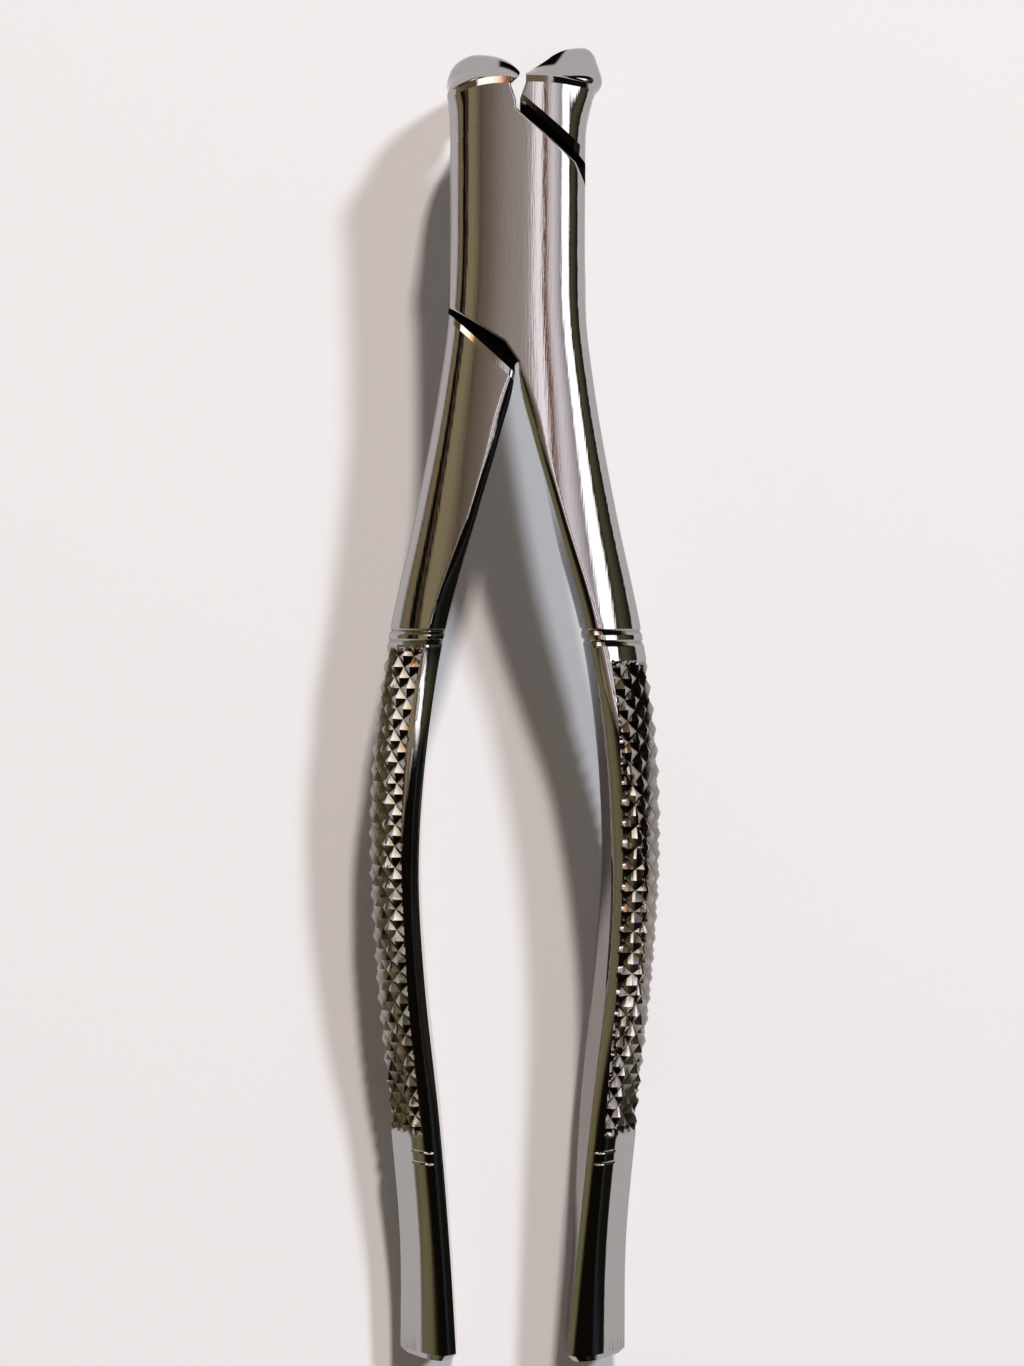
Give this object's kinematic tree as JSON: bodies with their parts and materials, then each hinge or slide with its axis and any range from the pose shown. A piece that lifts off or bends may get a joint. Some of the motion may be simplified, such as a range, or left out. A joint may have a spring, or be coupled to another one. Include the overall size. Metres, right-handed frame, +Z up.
{
  "type": "dental extraction forceps",
  "caption": "Lower extraction forceps in polished steel: crossed levers on a pivot screw, hooked hollow beaks and coarse knurled handles that open and close.",
  "frame": {"origin": "centre of the bounding box's footprint, on the surface the forceps lies on", "axes": "+Y along the forceps towards the beaks, +X to the right seen from above, +Z up; it lies beaks down, its front face up, resting on the beak tips and the handle ends"},
  "size_m": [0.0382, 0.171, 0.0222],
  "materials": {
    "back_lever_steel": "mirror-polished stainless steel",
    "front_lever_steel": "mirror-polished stainless steel",
    "screw_steel": "turned stainless steel"
  },
  "bodies": {
    "back_lever_body": {"back_lever": "back_lever_steel"},
    "front_lever_body": {"front_lever": "front_lever_steel", "pivot_screw": "screw_steel"}
  },
  "joints": [
    {"name": "pivot", "type": "hinge", "parent": "back_lever_body", "child": "front_lever_body", "pos_m": [0, 0.05929, 0.01619], "axis": [0, -0.0506, 0.9987], "range_deg": [-1.4, 35]}
  ]
}
